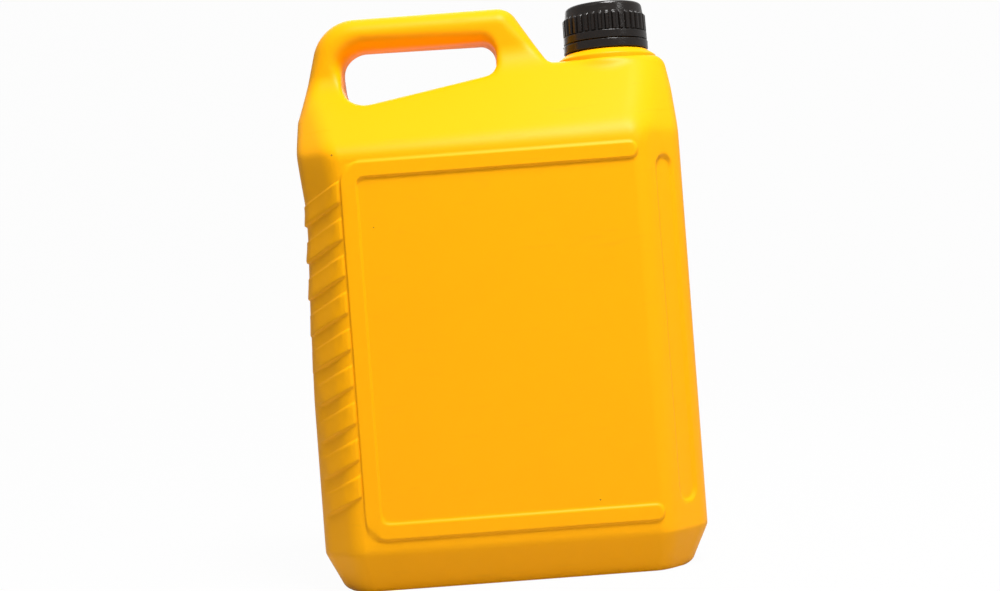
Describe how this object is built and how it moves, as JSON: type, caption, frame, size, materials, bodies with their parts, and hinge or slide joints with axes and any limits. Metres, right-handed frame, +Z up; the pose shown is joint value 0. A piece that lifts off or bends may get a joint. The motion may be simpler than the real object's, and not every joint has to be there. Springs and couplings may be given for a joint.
{
  "type": "oil jug",
  "caption": "Blow-moulded oil jug with a hollow handle, slanted corner ribs, a raised frame on each face and a ribbed screw cap with a tamper ring.",
  "frame": {"origin": "middle of the base, on the surface that the jug stands on", "axes": "+X towards the side with the neck, -Y out of the front face, +Z up"},
  "size_m": [0.192, 0.1242, 0.29],
  "materials": {
    "jug_plastic": "satin moulded",
    "closure_plastic": "satin moulded",
    "liner_foam": "foam"
  },
  "bodies": {
    "jug": {"jug_body": "jug_plastic", "tamper_ring": "closure_plastic"},
    "liner": {"cap_liner": "liner_foam"},
    "cap": {"screw_cap": "closure_plastic"}
  },
  "joints": [
    {"name": "cap_lift", "type": "slide", "parent": "jug", "child": "liner", "axis": [0, 0, 1], "range_m": [0, 0.018]},
    {"name": "cap_turn", "type": "hinge", "parent": "liner", "child": "cap", "pos_m": [0.065, 0, 0.28], "axis": [0, 0, 1], "range_deg": [0, 1080]}
  ],
  "couplings": [
    {"joint": "cap_lift", "follows": "cap_turn", "m_per_rad": 0.00095492}
  ]
}
